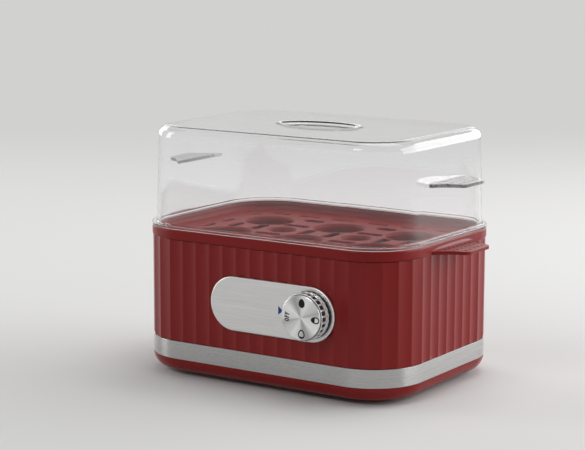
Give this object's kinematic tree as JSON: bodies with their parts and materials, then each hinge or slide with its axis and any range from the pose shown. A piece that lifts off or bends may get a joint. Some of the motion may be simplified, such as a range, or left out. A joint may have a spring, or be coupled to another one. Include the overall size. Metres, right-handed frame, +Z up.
{
  "type": "egg cooker",
  "caption": "Electric egg cooker with fluted red housing, steel band, lift-out egg tray with finger tabs, clear domed lid and rotary knob.",
  "frame": {"origin": "middle of the footprint, in the plane of the standing rim that rests on the table", "axes": "+X along the long side to the right as seen from the front, +Y from the control panel to the rear, +Z up"},
  "size_m": [0.3, 0.2009, 0.205],
  "materials": {
    "base_red": "moulded gloss red, darker than the housing",
    "foot_rubber": "moulded rubber",
    "brushed_trim": "brushed along the band",
    "housing_red": "moulded gloss deep red",
    "pan_steel": "pressed stainless with a satin surface",
    "silicone": "translucent white silicone",
    "cast_aluminium": "cast, lightly pitted",
    "element_sheath": "heat-darkened steel sheath",
    "tinned_brass": "tinned brass",
    "black_phenolic": "moulded phenolic",
    "zinc_steel": "zinc plated",
    "fuse_sleeve": "woven glass sleeve",
    "galvanised_sheet": "galvanised sheet",
    "brushed_panel": "fine horizontal brushing, bright bevel",
    "blue_print": "printed blue",
    "cream_nylon": "moulded nylon",
    "brown_insulation": "wire insulation",
    "blue_insulation": "wire insulation",
    "green_insulation": "wire insulation",
    "black_rubber": "moulded rubber",
    "shaft_steel": "turned steel",
    "knob_chrome": "satin chrome with spun face",
    "spring_steel": "spring steel",
    "tray_red": "moulded gloss red",
    "clear_cover": "clear polished plastic"
  },
  "bodies": {
    "base": {"base_tub": "base_red", "rubber_feet": "foot_rubber", "steel_band": "brushed_trim", "fluted_housing": "housing_red", "water_pan": "pan_steel", "pan_gasket": "silicone", "heater_plate": "cast_aluminium", "heating_element": "element_sheath", "element_terminals": "tinned_brass", "thermostat": "black_phenolic", "thermostat_bracket": "zinc_steel", "thermal_fuse": "fuse_sleeve", "fuse_clip": "zinc_steel", "heat_shield": "galvanised_sheet", "shield_nuts": "zinc_steel", "control_plate": "brushed_panel", "plate_clips": "zinc_steel", "pointer_mark": "blue_print", "rotary_switch": "black_phenolic", "switch_nut": "zinc_steel", "terminal_block": "cream_nylon", "block_screws": "zinc_steel", "live_wires": "brown_insulation", "neutral_wire": "blue_insulation", "earth_wire": "green_insulation", "cord_gland": "black_rubber", "base_screws": "zinc_steel"},
    "tray": {"egg_tray": "tray_red"},
    "lid": {"lid": "clear_cover"},
    "knob": {"switch_shaft": "shaft_steel", "knob_grip": "knob_chrome", "knob_face": "knob_chrome", "shaft_clip": "spring_steel"}
  },
  "joints": [
    {"name": "tray_lift", "type": "slide", "parent": "base", "child": "tray", "axis": [0, 0, 1], "range_m": [0, 0.06]},
    {"name": "lid_lift", "type": "slide", "parent": "tray", "child": "lid", "axis": [0, 0, 1], "range_m": [0, 0.12]},
    {"name": "knob_turn", "type": "hinge", "parent": "base", "child": "knob", "pos_m": [0.052, -0.1, 0.069], "axis": [0, 1, 0], "range_deg": [0, 270]}
  ]
}
